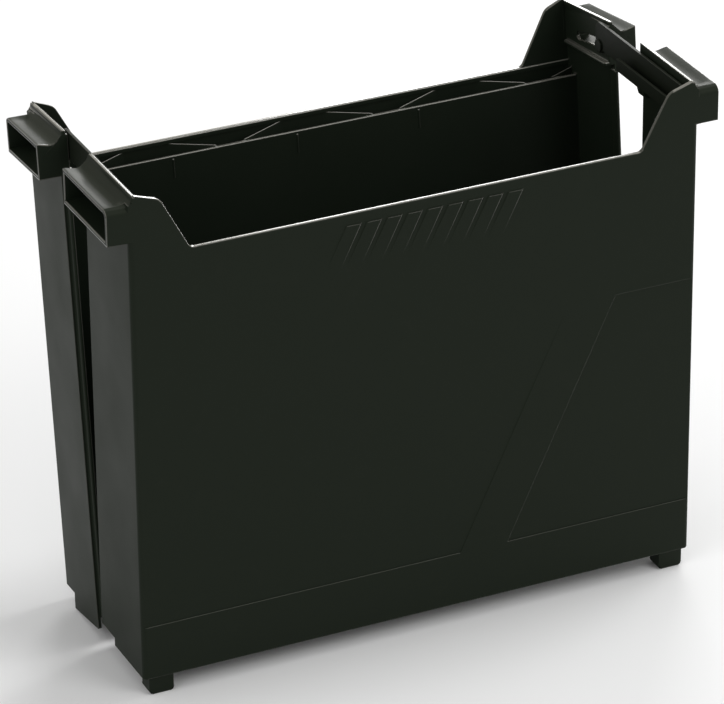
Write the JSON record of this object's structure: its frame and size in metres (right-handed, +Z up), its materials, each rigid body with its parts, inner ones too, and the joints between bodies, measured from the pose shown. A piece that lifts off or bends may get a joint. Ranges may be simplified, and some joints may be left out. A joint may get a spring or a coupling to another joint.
{
  "type": "portable file box",
  "caption": "Portable file box of hinged tray halves standing open in a V, with hollow side grips, raised corners, a ribbed rear rim and rails for hanging files.",
  "frame": {"origin": "middle of the bounding box at table height, with the rear half leaning back as in the picture", "axes": "+X along the front wall to its right, +Y from the upright front half to the leaning rear half, +Z up"},
  "size_m": [0.395, 0.1662, 0.331],
  "materials": {
    "box_plastic": "black moulded plastic with a fine leather-like grain",
    "box_plastic_rear": "black moulded plastic with a fine leather-like grain",
    "rail_plastic": "smooth black extruded plastic",
    "stud_plastic": "smooth black plastic",
    "pin_steel": "drawn steel wire"
  },
  "bodies": {
    "front_half": {"front_shell": "box_plastic", "rail_left": "rail_plastic", "rail_right": "rail_plastic", "stud_left": "stud_plastic", "stud_right": "stud_plastic", "hinge_pin_left": "pin_steel", "hinge_pin_right": "pin_steel"},
    "rear_half": {"rear_shell": "box_plastic_rear"}
  },
  "joints": [
    {"name": "rear_half_fold", "type": "hinge", "parent": "front_half", "child": "rear_half", "pos_m": [0, -0.01339, 0.012], "axis": [1, 0, 0], "range_deg": [0, 6.2]}
  ]
}
